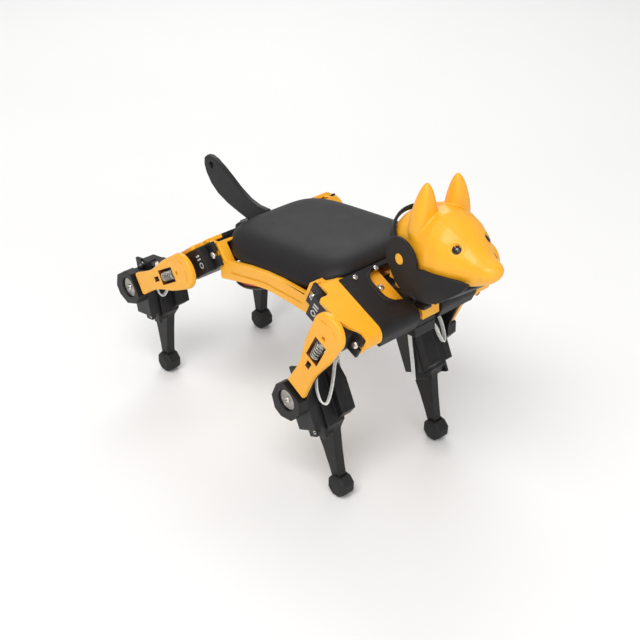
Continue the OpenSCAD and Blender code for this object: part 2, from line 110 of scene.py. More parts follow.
side = {k: (1 if k.endswith("l") else -1) for k in LEGS}
thigh, shank = {}, {}
for k in LEGS:
    base = Vector((hip[k].x, 0, hip[k].z))
    thigh[k] = mirrored(base, joints["spring_slide_" + k]["axis"], side[k])
    low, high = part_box("foot_sock_" + k)
    foot = (low + high) / 2
    base = Vector((knee[k].x, 0, knee[k].z))
    shank[k] = mirrored(base, Vector((foot.x, 0, foot.z)) - base, side[k])

THIGH_LEN = (knee["fr"] - hip["fr"]).length / MM

# The servos' frame: origin on the shaft, y along it, case along -x
SERVO_LEN, SERVO_W, SHAFT_INSET, SERVO_DEPTH, SERVO_TOP = 22.5, 12, 5.9, 15.9, 4.3
SHOULDER_TAB, KNEE_TAB, SCREW_PITCH = 37.5, 39, 27.4
SCREW_NEAR = SCREW_PITCH / 2 - (SERVO_LEN / 2 - SHAFT_INSET)
SCREW_FAR = SCREW_NEAR - SCREW_PITCH
STRAP_SLOPE = math.radians(31.1)
SERVO_LEAN = math.radians(6.25)
HIP_X = (hip["fr"] - hip["rr"]).length / 2 / MM


def bay(front, y_side):
    """A shoulder servo's frame: x down the strap from the torso's middle, y outward, z off the strap."""
    end = 1 if front else -1
    tilt = Matrix.Rotation(STRAP_SLOPE, 4, "Y")
    flip = Matrix.Diagonal((end, 1, 1, 1))
    return torso @ flip @ Matrix.Translation((HIP_X, 0, 0)) @ tilt @ Matrix.Diagonal((1, y_side, 1, 1))


def knee_servo_frame(k):
    lean = Matrix.Rotation(-SERVO_LEAN, 4, "Y")
    return shank[k] @ lean @ Matrix.Diagonal((-1, 1, 1, 1)) @ Matrix.Translation((0, KNEE_TAB, 0))


# ---- materials ----

class Nodes:
    """A material's node tree with short calls for the nodes used here."""

    def __init__(self, name):
        self.material = bpy.data.materials.new(name)
        self.material.use_nodes = True
        self.tree = self.material.node_tree
        self.tree.nodes.clear()
        self.out = self.add("ShaderNodeOutputMaterial")
        self.shader = self.add("ShaderNodeBsdfPrincipled")
        self.link(self.shader.outputs[0], self.out.inputs["Surface"])
        self.place = self.add("ShaderNodeTexCoord").outputs["Object"]

    def add(self, kind, **values):
        node = self.tree.nodes.new(kind)
        for key, value in values.items():
            setattr(node, key, value)
        return node

    def link(self, a, b):
        self.tree.links.new(a, b)

    def noise(self, scale, detail=3.0, roughness=0.5, stretch=None):
        """Noise with its scale in cells per metre."""
        source = self.place
        if stretch:
            mapping = self.add("ShaderNodeMapping")
            mapping.inputs["Scale"].default_value = stretch
            self.link(source, mapping.inputs["Vector"])
            source = mapping.outputs["Vector"]
        node = self.add("ShaderNodeTexNoise")
        node.inputs["Scale"].default_value = scale
        node.inputs["Detail"].default_value = detail
        node.inputs["Roughness"].default_value = roughness
        self.link(source, node.inputs["Vector"])
        return node.outputs["Fac"]

    def span(self, value, low, high, to_low=0.0, to_high=1.0):
        node = self.add("ShaderNodeMapRange")
        node.clamp = True
        for socket, number in zip(("From Min", "From Max", "To Min", "To Max"), (low, high, to_low, to_high)):
            node.inputs[socket].default_value = number
        self.link(value, node.inputs["Value"])
        return node.outputs["Result"]

    def mix(self, factor, a, b):
        node = self.add("ShaderNodeMix", data_type="RGBA")
        self.link(factor, node.inputs["Factor"])
        for socket, colour in ((node.inputs["A"], a), (node.inputs["B"], b)):
            if isinstance(colour, tuple):
                socket.default_value = (*colour, 1)
            else:
                self.link(colour, socket)
        return node.outputs["Result"]

    def math(self, operation, a, b):
        node = self.add("ShaderNodeMath", operation=operation)
        for socket, value in zip(node.inputs, (a, b)):
            if isinstance(value, (int, float)):
                socket.default_value = value
            else:
                self.link(value, socket)
        return node.outputs[0]

    def bump(self, height, distance, strength=1.0, under=None):
        node = self.add("ShaderNodeBump")
        node.inputs["Strength"].default_value = strength
        node.inputs["Distance"].default_value = distance
        self.link(height, node.inputs["Height"])
        if under is not None:
            self.link(under, node.inputs["Normal"])
        return node.outputs["Normal"]

    def edges(self, low=0.52, high=0.62):
        """1 along convex edges, from the mesh's own curvature."""
        return self.span(self.add("ShaderNodeNewGeometry").outputs["Pointiness"], low, high)


def moulded(name, base, shade, worn, rough, grain=0.00003, grain_scale=3200, coat=0.0, specular=0.5):
    """Injection-moulded plastic: spark-eroded grain, flow variation, rubbed edges and hairline scuffs."""
    n = Nodes(name)
    flow = n.span(n.noise(55, 4), 0.3, 0.72)
    colour = n.mix(flow, base, shade)
    scuff = n.span(n.noise(420, 6, 0.7, (1, 1, 0.25)), 0.6, 0.72)
    edge = n.math("MULTIPLY", n.edges(), n.span(n.noise(260, 5, 0.65), 0.42, 0.62))
    rubbed = n.math("MULTIPLY", n.math("MAXIMUM", edge, n.math("MULTIPLY", scuff, 0.35)), 0.5)
    n.link(n.mix(rubbed, colour, worn), n.shader.inputs["Base Color"])
    patches = n.span(n.noise(130, 5, 0.6), 0.3, 0.7, rough - 0.02, rough + 0.03)
    n.link(n.math("ADD", patches, n.math("MULTIPLY", rubbed, -0.08)), n.shader.inputs["Roughness"])
    coarse = n.bump(n.noise(grain_scale / 4, 2), grain * 2.2, 0.35)
    n.link(n.bump(n.noise(grain_scale, 3, 0.6), grain, 0.8, coarse), n.shader.inputs["Normal"])
    n.shader.inputs["Specular IOR Level"].default_value = specular
    if coat:
        n.shader.inputs["Coat Weight"].default_value = coat
        n.shader.inputs["Coat Roughness"].default_value = 0.22
    return n


def metal(name, bright, dark, rough, stretch=(1, 1, 1)):
    """Plated metal: fine turned lines, a little tarnish in patches."""
    n = Nodes(name)
    tarnish = n.span(n.noise(900, 5, 0.65), 0.45, 0.7)
    n.link(n.mix(tarnish, bright, dark), n.shader.inputs["Base Color"])
    n.shader.inputs["Metallic"].default_value = 1.0
    lines = n.noise(5200, 4, 0.7, stretch)
    n.link(n.span(lines, 0.3, 0.7, rough - 0.07, rough + 0.1), n.shader.inputs["Roughness"])
    n.link(n.bump(lines, 0.00001, 0.5), n.shader.inputs["Normal"])
    return n


def insulation(name, base, shade, rough):
    """Extruded lead insulation with faint draw marks and grime."""
    n = Nodes(name)
    grime = n.span(n.noise(700, 4, 0.6), 0.5, 0.75)
    n.link(n.mix(grime, base, shade), n.shader.inputs["Base Color"])
    n.link(n.span(n.noise(1500, 3), 0.3, 0.7, rough - 0.06, rough + 0.08), n.shader.inputs["Roughness"])
    n.link(n.bump(n.noise(3000, 2), 0.00001, 0.6), n.shader.inputs["Normal"])
    n.shader.inputs["Subsurface Weight"].default_value = 0.08
    n.shader.inputs["Subsurface Radius"].default_value = (0.0006, 0.0005, 0.0004)
    return n


orange = moulded("orange_abs", (0.93, 0.44, 0.017), (0.91, 0.405, 0.013), (1.0, 0.56, 0.07), 0.38,
                 0.000012, coat=0.06)
orange.shader.inputs["Subsurface Weight"].default_value = 0.12
orange.shader.inputs["Subsurface Radius"].default_value = (0.0016, 0.0007, 0.0002)
orange.shader.inputs["Subsurface Scale"].default_value = 1.0
black_shell = moulded("black_shell_abs", (0.0135, 0.0122, 0.0128), (0.016, 0.0146, 0.0152),
                      (0.055, 0.05, 0.05), 0.5, 0.00002, specular=0.24)
black = moulded("black_abs", (0.008, 0.0074, 0.0078), (0.011, 0.0102, 0.0106), (0.06, 0.056, 0.056), 0.46,
                0.000026, specular=0.3)
servo_black = moulded("servo_nylon", (0.009, 0.009, 0.0098), (0.013, 0.0128, 0.0135), (0.05, 0.05, 0.05),
                      0.42, 0.00001, specular=0.36)
rubber = moulded("sock_rubber", (0.010, 0.010, 0.0105), (0.018, 0.0175, 0.0175), (0.05, 0.05, 0.048), 0.62,
                 0.00004, 1900, specular=0.35)
nickel = metal("nickel_plate", (0.83, 0.80, 0.75), (0.52, 0.48, 0.43), 0.24)
spring_steel = metal("spring_steel", (0.46, 0.44, 0.41), (0.24, 0.22, 0.20), 0.32, (1, 1, 6))
white_lead = insulation("white_lead", (0.86, 0.86, 0.84), (0.68, 0.66, 0.62), 0.38)
red_lead = insulation("red_lead", (0.55, 0.012, 0.010), (0.34, 0.010, 0.008), 0.34)
black_lead = insulation("black_lead", (0.016, 0.016, 0.017), (0.03, 0.029, 0.028), 0.36)
nylon = moulded("horn_nylon", (0.78, 0.78, 0.75), (0.70, 0.69, 0.66), (0.9, 0.9, 0.88), 0.42)
mark = moulded("pad_print", (0.62, 0.62, 0.62), (0.52, 0.52, 0.52), (0.3, 0.3, 0.3), 0.6)
wrap = moulded("battery_film", (0.012, 0.012, 0.014), (0.02, 0.02, 0.023), (0.08, 0.08, 0.085), 0.24,
               0.00005, 700)
# Painted shade: a dark red-brown for the walls of the thighs' spring window and slot. It stands for the shade
# inside that recess, since the shell there is the same orange plastic.
window_shade_paint = moulded("window_edge", (0.20, 0.055, 0.012), (0.14, 0.04, 0.010), (0.35, 0.12, 0.02), 0.5)


def eye_material():
    n = Nodes("eye_gloss")
    fleck = n.span(n.noise(2400, 4, 0.6), 0.55, 0.8)
    n.link(n.mix(fleck, (0.004, 0.004, 0.005), (0.016, 0.013, 0.013)), n.shader.inputs["Base Color"])
    n.link(n.span(n.noise(900, 3), 0.3, 0.7, 0.10, 0.2), n.shader.inputs["Roughness"])
    n.shader.inputs["Coat Weight"].default_value = 0.6
    n.shader.inputs["Coat Roughness"].default_value = 0.06
    return n


def board_material():
    """Solder mask with traces that show as fine raised lines."""
    n = Nodes("solder_mask")
    wave = n.add("ShaderNodeTexBrick")
    wave.inputs["Scale"].default_value = 420
    n.link(n.place, wave.inputs["Vector"])
    wave.inputs["Color1"].default_value = (0.010, 0.10, 0.035, 1)
    wave.inputs["Color2"].default_value = (0.012, 0.12, 0.045, 1)
    wave.inputs["Mortar"].default_value = (0.03, 0.2, 0.08, 1)
    dirt = n.span(n.noise(300, 4), 0.4, 0.7)
    n.link(n.mix(dirt, wave.outputs["Color"], (0.01, 0.07, 0.03)), n.shader.inputs["Base Color"])
    n.link(n.span(n.noise(800, 3), 0.3, 0.7, 0.25, 0.4), n.shader.inputs["Roughness"])
    n.link(n.bump(wave.outputs["Fac"], 0.00003, 0.4), n.shader.inputs["Normal"])
    return n


eye_black = eye_material()
solder_mask = board_material()


# ---- mesh helpers ----

def put(name, bm, matrix, finish, body, nodes=(), smooth=True):
    """Makes the bmesh, drawn in a local frame, a piece that rides on a body."""
    mesh = bpy.data.meshes.new(name)
    bm.transform(matrix)
    bmesh.ops.recalc_face_normals(bm, faces=bm.faces)
    bm.to_mesh(mesh)
    bm.free()
    if smooth:
        mesh.shade_smooth()
    obj = bpy.data.objects.new(name, mesh)
    bpy.context.scene.collection.objects.link(obj)
    mesh.materials.append(finish.material)
    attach(obj, body)
    if nodes:
        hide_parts(*nodes)
    return obj


def bevel(obj, width, segments=3, angle=32):
    """Rounded edges, width in millimetres, with normals weighted so that flats stay flat."""
    b = obj.modifiers.new("edge_rounding", "BEVEL")
    b.width = width * MM
    b.segments = segments
    b.limit_method = "ANGLE"
    b.angle_limit = math.radians(angle)
    b.use_clamp_overlap = False
    b.miter_outer = "MITER_ARC"
    w = obj.modifiers.new("flat_normals", "WEIGHTED_NORMAL")
    w.keep_sharp = True
    w.weight = 60
    return obj


def solidify_mesh(obj):
    """The object's mesh with its modifiers applied."""
    graph = bpy.context.evaluated_depsgraph_get()
    return bpy.data.meshes.new_from_object(obj.evaluated_get(graph))


STRONG_WIDTH, EDGE_ANGLE = 1.3, 32


def soften(node, finish, body, width=0.35, segments=3, strong=None, shaped=None):
    """The CAD node's own shape with rounded edges. shaped edits it first; strong picks edges rounded more."""
    bm = bmesh.new()
    bm.from_mesh(frame["nodes"][node].data)
    bmesh.ops.remove_doubles(bm, verts=bm.verts, dist=2e-6)
    bmesh.ops.dissolve_limit(bm, angle_limit=math.radians(0.8), verts=bm.verts, edges=bm.edges)
    if shaped:
        shaped(bm)
    if strong:
        layer = bm.edges.layers.float.new("bevel_weight_edge")
        for edge in bm.edges:
            if len(edge.link_faces) == 2 and edge.calc_face_angle(0) > math.radians(EDGE_ANGLE):
                edge[layer] = 1.0 if all(strong(v.co) for v in edge.verts) else width / STRONG_WIDTH
    obj = put(node + "_moulding", bm, Matrix.Identity(4), finish, body, (node,))
    bevel(obj, STRONG_WIDTH if strong else width, segments)
    if strong:
        obj.modifiers["edge_rounding"].limit_method = "WEIGHT"
    return obj


def remeshed(obj, voxel, smooth, rounds):
    """Voxel remesh in millimetres, then smoothing, both applied."""
    r = obj.modifiers.new("remesh", "REMESH")
    r.mode = "VOXEL"
    r.voxel_size = voxel * MM
    r.use_smooth_shade = True
    s = obj.modifiers.new("smooth", "SMOOTH")
    s.factor = smooth
    s.iterations = rounds
    bpy.context.view_layer.update()
    done = solidify_mesh(obj)
    obj.modifiers.clear()
    old = obj.data
    obj.data = done
    bpy.data.meshes.remove(old)
    obj.data.shade_smooth()
    return obj


def box(bm, x0, x1, y0, y1, z0, z1):
    made = bmesh.ops.create_cube(bm, size=1)
    scale = Matrix.Diagonal((x1 - x0, y1 - y0, z1 - z0, 1))
    centre = Matrix.Translation(((x0 + x1) / 2, (y0 + y1) / 2, (z0 + z1) / 2))
    bmesh.ops.transform(bm, matrix=centre @ scale, verts=made["verts"])
    return made["verts"]


def lathe(bm, profile, segments=36, at=(0, 0, 0)):
    """Turns a profile of (radius, height) about the local y axis; a radius of 0 closes an end."""
    rings = []
    for radius, height in profile:
        if radius < 1e-6:
            rings.append([bm.verts.new((at[0], at[1] + height, at[2]))])
            continue
        rings.append([
            bm.verts.new((at[0] + radius * math.cos(a), at[1] + height, at[2] + radius * math.sin(a)))
            for a in (2 * math.pi * i / segments for i in range(segments))
        ])
    for low, high in zip(rings, rings[1:]):
        bridge(bm, low, high)


def bridge(bm, low, high):
    """Faces between two closed rings, or between a ring and a single point."""
    count = max(len(low), len(high))
    for i in range(count):
        j = (i + 1) % count
        if len(low) == 1:
            bm.faces.new((low[0], high[i], high[j]))
        elif len(high) == 1:
            bm.faces.new((low[i], low[j], high[0]))
        else:
            bm.faces.new((low[i], low[j], high[j], high[i]))


def loft(bm, rings):
    """A closed skin through rings of points, with a fan at each end that is a single point."""
    made = [[bm.verts.new(p) for p in ring] for ring in rings]
    for low, high in zip(made, made[1:]):
        bridge(bm, low, high)
    return made


def smooth_path(points, per_span=6):
    """Catmull-Rom curve through given points."""
    pts = [Vector(p) for p in points]
    ends = [pts[0] * 2 - pts[1]] + pts + [pts[-1] * 2 - pts[-2]]
    out = []
    for a, b, c, d in zip(ends, ends[1:], ends[2:], ends[3:]):
        for i in range(per_span):
            t = i / per_span
            out.append(0.5 * ((2 * b) + (c - a) * t + (2 * a - 5 * b + 4 * c - d) * t * t
                              + (3 * b - a - 3 * c + d) * t ** 3))
    return out + [pts[-1]]


def sweep(bm, path, offsets, radius, sides=10, flat=Vector((0, 1, 0))):
    """Round strands side by side along a path; offsets are across the ribbon, along the flat direction."""
    rings = [[] for _ in offsets]
    for i, p in enumerate(path):
        along = (path[min(i + 1, len(path) - 1)] - path[max(i - 1, 0)]).normalized()
        across = (flat - along * flat.dot(along)).normalized()
        up = along.cross(across)
        for strand, shift in enumerate(offsets):
            middle = p + across * shift
            rings[strand].append([
                middle + radius * (across * math.cos(a) + up * math.sin(a))
                for a in (2 * math.pi * s / sides for s in range(sides))
            ])
    for strand in rings:
        caps = [[sum(ring, Vector()) / sides] for ring in (strand[0], strand[-1])]
        loft(bm, [caps[0], *strand, caps[1]])


# ---- torso ----



def trim_bay_corners(bm):
    """Takes the bays' inner corners down, where the back cover's corners sit; further down at the front."""
    for front in (True, False):
        low, share = (1.5, 0.15) if front else (4.1, 0.1)
        for y_side in (-1, 1):
            to_bay = bay(front, y_side).inverted()
            for v in bm.verts:
                q = to_bay @ v.co
                if -25 < q.x < -18.2 and q.y > 30 and q.z > low:
                    v.co = to_bay.inverted() @ Vector((q.x, q.y, low + (q.z - low) * share))


soften("body_frame", orange, "torso", 0.32, shaped=trim_bay_corners)
soften("chest_cover", black_shell, "torso", 0.3)
soften("rump_cover", black_shell, "torso", 0.3)
soften("tail_holder", black, "torso", 0.5)
soften("tail", black, "torso", 0.42)
soften("main_board", solder_mask, "torso", 0.15, 2)
soften("battery_pack", wrap, "torso", 0.9, 4)
soften("battery_button", nylon, "power_button", 0.25)

# half length, half width, height above the hips, squareness of the plan
COVER_RINGS = [
    (30.0, 32.6, 7.4, 6.0), (33.6, 33.5, 9.6, 5.6), (36.4, 33.2, 11.8, 5.2), (38.2, 32.2, 13.8, 4.9),
    (38.9, 30.8, 15.6, 4.7), (38.4, 29.0, 17.2, 4.6), (36.9, 26.8, 18.7, 4.5), (34.6, 24.2, 20.0, 4.4),
    (31.4, 20.9, 21.0, 4.2), (27.0, 16.6, 21.8, 4.0), (21.0, 12.0, 22.25, 3.8), (12.0, 6.6, 22.5, 3.4),
]
cover = bmesh.new()
cover_skin = [[(0, 0, COVER_RINGS[0][2])]]
for half_x, half_y, height, square in COVER_RINGS:
    ring = []
    for i in range(96):
        c, q = math.cos(2 * math.pi * i / 96), math.sin(2 * math.pi * i / 96)
        ring.append((half_x * math.copysign(abs(c) ** (2 / square), c),
                     half_y * math.copysign(abs(q) ** (2 / square), q), height))
    cover_skin.append(ring)
cover_skin.append([(0, 0, 22.6)])
loft(cover, cover_skin)
cover_piece = put("back_cover_dome", cover, torso, black_shell, "torso", ("back_cover",))
finer = cover_piece.modifiers.new("finer", "SUBSURF")
finer.levels = finer.render_levels = 2


# ---- servos ----

def servo_mesh():
    """Case in three mouldings with parting gaps, and slotted tabs; y points out of the shaft end."""
    x0, x1 = SHAFT_INSET - SERVO_LEN, SHAFT_INSET
    half = SERVO_W / 2
    bm = bmesh.new()
    box(bm, x0, x1, -SERVO_DEPTH, -11.4, -half, half)
    box(bm, x0 + 0.25, x1 - 0.25, -11.6, 0.2, -half + 0.25, half - 0.25)
    box(bm, x0, x1, -11.1, -2.0, -half, half)
    box(bm, x0, x1, 0, SERVO_TOP, -half, half)
    reach = 5.3
    for sign, edge in ((-1, x0), (1, x1)):
        hole = SCREW_FAR if sign < 0 else SCREW_NEAR
        outer = edge + sign * reach
        lo, hi = sorted((edge - sign * 0.5, outer))
        for z0, z1 in ((-half + 0.2, -1.05), (1.05, half - 0.2)):
            box(bm, lo, hi, -1.6, 0, z0, z1)
        box(bm, *sorted((edge - sign * 0.5, hole - sign * 1.05)), -1.6, 0, -1.1, 1.1)
        # gusset under the tab
        box(bm, *sorted((edge - sign * 0.3, edge + sign * 1.1)), -4.2, -1.5, -0.6, 0.6)
    box(bm, x0 - 1.2, x0 + 0.2, -13, -11, -2, 2)
    return bm


def servo(name, matrix, body, node):
    piece = put(name + "_case", servo_mesh(), matrix, servo_black, body, (node,))
    bevel(piece, 0.32, 3)
    bm = bmesh.new()
    foot = SERVO_TOP - 0.4
    lathe(bm, [(0, foot), (5.85, foot), (5.85, 4.75), (5.6, 5.0), (2.9, 5.0), (2.7, 4.7), (0, 4.7)], 48)
    lathe(bm, [(0, foot), (2.8, foot), (2.8, 4.42), (2.6, 4.5), (0, 4.5)], 32, (-6.4, 0, 0))
    put(name + "_turret", bm, matrix, servo_black, body, smooth=False)


for k in LEGS:
    place = bay(k[0] == "f", side[k]) @ Matrix.Translation((0, SHOULDER_TAB, 0))
    servo("shoulder_servo_" + k, place, "torso", "shoulder_servo_" + k)
    servo("knee_servo_" + k, knee_servo_frame(k), "shank_" + k, "knee_servo_" + k)
HEAD_TAB = 2.6
head_servo_place = (torso @ Matrix.Translation(((torso.inverted() @ neck).x, 0, HEAD_TAB))
                    @ Matrix.Rotation(math.pi / 2, 4, "X"))
servo("head_servo", head_servo_place, "torso", "head_servo")


def servo_mark(name, matrix, body):
    """A generic pad-printed mark: a ring and two bars."""
    bm = bmesh.new()
    lathe(bm, [(0.95, 0), (0.95, 0.06), (1.5, 0.06), (1.5, 0)], 28, (-13.2, SERVO_TOP + 0.01, -1.9))
    for z in (0.6, 2.2):
        box(bm, -14.7, -11.7, SERVO_TOP, SERVO_TOP + 0.06, z, z + 0.8)
    put(name, bm, matrix, mark, body, smooth=False)


for k in LEGS:
    place = bay(k[0] == "f", side[k]) @ Matrix.Translation((0, SHOULDER_TAB, 0))
    servo_mark("shoulder_mark_" + k, place, "torso")


# ---- screws ----

def screw_mesh(radius, height, shank_len=1.0):
    """Pan head with a cross recess, y out of the head."""
    bm = bmesh.new()
    lathe(bm, [(0, -shank_len), (radius * 0.5, -shank_len), (radius * 0.5, 0), (radius, 0),
               (radius, height * 0.35), (radius * 0.9, height * 0.72), (radius * 0.62, height * 0.95),
               (0, height)], 32)
    arms = bmesh.new()
    arm, wide = radius * 0.62, radius * 0.14
    box(arms, -arm, arm, height * 0.35, height * 1.5, -wide, wide)
    box(arms, -wide, wide, height * 0.351, height * 1.5, -arm, arm)
    head_mesh, arm_mesh = bpy.data.meshes.new("t"), bpy.data.meshes.new("t")
    bm.to_mesh(head_mesh)
    arms.to_mesh(arm_mesh)
    bm.free()
    arms.free()
    a, b = bpy.data.objects.new("t_head", head_mesh), bpy.data.objects.new("t_arm", arm_mesh)
    for o in (a, b):
        bpy.context.scene.collection.objects.link(o)
    cut = a.modifiers.new("cut", "BOOLEAN")
    cut.operation, cut.solver, cut.object, cut.use_self = "DIFFERENCE", "EXACT", b, True
    bpy.context.view_layer.update()
    done = solidify_mesh(a)
    for o in (a, b):
        bpy.data.objects.remove(o)
    return done


SCREWS = {"cover": screw_mesh(1.2, 0.7), "deck": screw_mesh(1.5, 1.0), "shoulder": screw_mesh(1.75, 1.2, 3),
          "shank": screw_mesh(1.7, 1.1, 2)}


def screws(name, places, body, nodes=()):
    """Screws at the matrices in places, as one piece with true recesses."""
    bm = bmesh.new()
    for kind, matrix in places:
        before = len(bm.verts)
        bm.from_mesh(SCREWS[kind])
        bm.verts.ensure_lookup_table()
        bmesh.ops.transform(bm, matrix=matrix, verts=bm.verts[before:])
    piece = put(name, bm, Matrix.Identity(4), nickel, body, nodes)
    return bevel(piece, 0.06, 2, 40)


def spin(angle):
    return Matrix.Rotation(math.radians(angle), 4, "Y")


upright = Matrix.Rotation(math.pi / 2, 4, "X")
front_bay = bay(True, 1)
FRAME_TOP = 4.9
places = [("cover", front_bay @ Matrix.Translation((-15, y, 8)) @ upright @ spin(turn))
          for y, turn in ((-20.8, 12), (-9, 40), (9, 71), (20.8, 25))]
places += [("deck", front_bay @ Matrix.Translation((-7.3, y, FRAME_TOP)) @ upright @ spin(turn))
           for y, turn in ((-11.5, 20), (11.5, 63))]
screws("cover_screw_heads", places, "torso", ("cover_screws",))
places = []
for i, k in enumerate(LEGS):
    for j, x in enumerate((SCREW_FAR, SCREW_NEAR)):
        place = bay(k[0] == "f", side[k]) @ Matrix.Translation((x, SHOULDER_TAB, 0))
        places.append(("shoulder", place @ spin(17 + 31 * i + 44 * j)))
screws("shoulder_screw_heads", places, "torso", ("shoulder_screws",))
for i, k in enumerate(LEGS):
    screws("shank_screw_heads_" + k,
           [("shank", knee_servo_frame(k) @ Matrix.Translation((x, 0.05, 0)) @ spin(9 + 37 * i + 50 * j))
            for j, x in enumerate((SCREW_FAR, SCREW_NEAR))], "shank_" + k)


# ---- head ----

def super_ring(x, centre_z, half_w, up, down, power_up, power_down, count=28):
    """A closed ring across x, a superellipse with its own exponents above and below its widest line."""
    ring = []
    for i in range(count):
        a = 2 * math.pi * i / count
        c, s = math.cos(a), math.sin(a)
        power = power_up if s >= 0 else power_down
        reach = up if s >= 0 else down
        ring.append((x, half_w * math.copysign(abs(c) ** (2 / power), c),
                     centre_z + reach * math.copysign(abs(s) ** (2 / power), s)))
    return ring


# x from the neck axis, widest height, half width, top, bottom, exponents above and below
HEAD_RINGS = [
    (-2.7, 31, 3.2, 34.4, 27.8, 2, 2),
    (-1.8, 31, 6.4, 36.6, 25.4, 2, 2),
    (0.4, 31, 9.8, 39.6, 22.4, 2.05, 2.1),
    (4, 30.6, 12.6, 42.9, 19.4, 2.1, 2.3),
    (9, 30.2, 14.3, 45.9, 17.3, 2.1, 2.5),
    (15, 29.8, 15.1, 48.0, 16.6, 2.1, 2.7),
    (21, 29.6, 15.2, 48.8, 17.2, 2.1, 2.8),
    (27, 29.6, 14.9, 48.3, 18.4, 2.15, 2.8),
    (32, 29.8, 13.6, 46.2, 19.4, 2.2, 2.7),
    (36.5, 30.0, 11.5, 42.9, 20.2, 2.2, 2.6),
    (40.5, 30.0, 8.8, 39.3, 21.2, 2.1, 2.5),
    (43.4, 29.8, 7.3, 36.9, 22.1, 2.1, 2.3),
    (45.4, 29.6, 6.5, 35.4, 22.9, 2.1, 2.2),
    (47.4, 29.6, 5.9, 34.5, 23.7, 2.1, 2.0),
    (49.6, 29.7, 5.2, 33.8, 24.9, 2.05, 2.0),
    (51.6, 29.8, 4.1, 33.0, 26.4, 2.0, 2.0),
    (52.8, 29.9, 2.5, 32.0, 27.9, 2.0, 2.0),
]


EAR_FOOT, EAR_ROOT, EAR_TIP = 34, 41, 59.6


def ear_rings(y_side, steps=18, count=24):
    """An ear: broad at its root, leaning back a little, hollowed on the side that faces forward."""
    rings = []
    for i in range(steps + 1):
        height = EAR_FOOT + (EAR_TIP - EAR_FOOT) * (i / steps) ** 0.9
        t = max(0, (height - EAR_ROOT) / (EAR_TIP - EAR_ROOT))
        swell = max(0, 1 - t ** 1.9) ** 0.8
        half_x = 1.0 + 4.7 * swell
        half_y = 1.0 + 4.6 * swell
        cx = 18.6 + 3.0 * t ** 0.8
        cy = 8.6 - 1.0 * t
        ring = []
        for j in range(count):
            a = 2 * math.pi * j / count
            dx, dy = math.cos(a), math.sin(a)
            hollow = 1 - 0.26 * max(0, dx) ** 3 * swell
            ring.append((cx + half_x * dx * hollow, y_side * (cy + half_y * dy), height))
        rings.append(ring)
    tip = (21.6, y_side * 7.6, EAR_TIP + 0.8)
    root = (18.6, y_side * 8.6, EAR_FOOT - 0.2)
    return [[root]] + rings + [[tip]]


skull = bmesh.new()
rings = [[(-3.0, 0, 31)]]
for x, z, w, top, bottom, pu, pd in HEAD_RINGS:
    rings.append(super_ring(x, z, w, top - z, z - bottom, pu, pd))
rings.append([(53.4, 0, 30.0)])
loft(skull, rings)
bmesh.ops.subdivide_edges(skull, edges=skull.edges, cuts=2, use_grid_fill=True, smooth=1.0)
for y_side in (-1, 1):
    loft(skull, ear_rings(y_side))
head_piece = put("head_shell_form", skull, head, orange, "head", ("head_shell",))
remeshed(head_piece, 0.33, 0.5, 9)

EYE, EYE_OUT = Vector((38.2, 8.1, 38.0)), Vector((0.42, 0.66, 0.62)).normalized()


def set_sockets(obj):
    """Presses a shallow round socket for each eye, with a soft raised rim."""
    inner, outer = 2.15, 3.6
    for v in obj.data.vertices:
        p = to_head @ v.co
        away = (Vector((p.x, abs(p.y), p.z)) - EYE)
        d = away.length
        if d < outer:
            n = Vector(v.normal)
            if d < inner:
                depth = -0.75 * (1 - (d / inner) ** 6)
            else:
                depth = 0.16 * math.sin(math.pi * (d - inner) / (outer - inner))
            v.co = v.co + n * depth * MM
    obj.data.update()


set_sockets(head_piece)
eyes = bmesh.new()
for y_side in (-1, 1):
    made = bmesh.ops.create_uvsphere(eyes, u_segments=32, v_segments=20, radius=1.85)
    out = Vector((EYE_OUT.x, y_side * EYE_OUT.y, EYE_OUT.z))
    turn = Vector((0, 0, 1)).rotation_difference(out).to_matrix().to_4x4()
    middle = Vector((EYE.x, y_side * EYE.y, EYE.z)) - out * 0.85
    flatten = Matrix.Translation(middle) @ turn @ Matrix.Diagonal((1, 1, 0.55, 1))
    bmesh.ops.transform(eyes, matrix=flatten, verts=made["verts"])
put("eye_beads", eyes, head, eye_black, "head", ("head_eyes",))

pins = bmesh.new()
for y_side in (-1, 1):
    lathe(pins, [(0, 13), (2.3, 13), (2.3, 18.15), (2.05, 18.4), (0, 18.4)] if y_side > 0 else
          [(0, -13), (2.3, -13), (2.3, -18.15), (2.05, -18.4), (0, -18.4)], 36, (jaw_pivot.x, 0, jaw_pivot.z))
put("jaw_pins", pins, head, orange, "head", smooth=False)

post = bmesh.new()
post.from_mesh(frame["nodes"]["neck_post"].data)
post_piece = put("neck_post_moulding", post, Matrix.Identity(4), orange, "head",
                 ("neck_post",))
remeshed(post_piece, 0.4, 0.5, 6)


# ---- jaw ----

def arc(cx, cz, r, a0, a1, n):
    return [(cx + r * math.cos(math.radians(a0 + (a1 - a0) * i / n)),
             cz + r * math.sin(math.radians(a0 + (a1 - a0) * i / n))) for i in range(n + 1)]


def dense(points, step):
    """Points added along the straight runs of a closed outline."""
    out = []
    for a, b in zip(points, points[1:] + points[:1]):
        count = max(1, round(math.dist(a, b) / step))
        out += [(a[0] + (b[0] - a[0]) * i / count, a[1] + (b[1] - a[1]) * i / count) for i in range(count)]
    return out


def rounded(points, rounds=2):
    """Corner cutting on a closed outline."""
    for _ in range(rounds):
        points = [p for a, b in zip(points, points[1:] + points[:1])
                  for p in ((0.75 * a[0] + 0.25 * b[0], 0.75 * a[1] + 0.25 * b[1]),
                            (0.25 * a[0] + 0.75 * b[0], 0.25 * a[1] + 0.75 * b[1]))]
    return points


